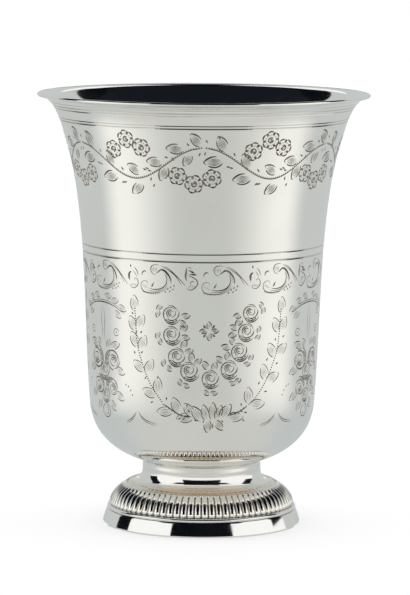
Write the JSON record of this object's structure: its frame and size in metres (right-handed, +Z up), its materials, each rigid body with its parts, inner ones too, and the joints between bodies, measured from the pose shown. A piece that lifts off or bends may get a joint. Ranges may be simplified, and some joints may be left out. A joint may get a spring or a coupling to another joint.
{
  "type": "silver beaker",
  "caption": "Tulip-shaped silver drinking beaker with a flared lip, engraved garlands and scrollwork, on a low hollow pedestal foot with a gadrooned shoulder.",
  "frame": {"origin": "centre of the foot's flat resting face", "axes": "+Z up along the axis that every piece is turned about; -Y is the side the picture is taken from"},
  "size_m": [0.09, 0.09, 0.117],
  "materials": {
    "polished_silver": "hand-polished silver with soft wear and darkened engraving",
    "toned_silver": "polished silver lobes with warm tarnish left in the grooves"
  },
  "bodies": {
    "root": {"bowl": "polished_silver", "foot_neck": "polished_silver", "gadroon_band": "toned_silver", "fillet_wire": "polished_silver", "base_band": "polished_silver"}
  },
  "joints": []
}
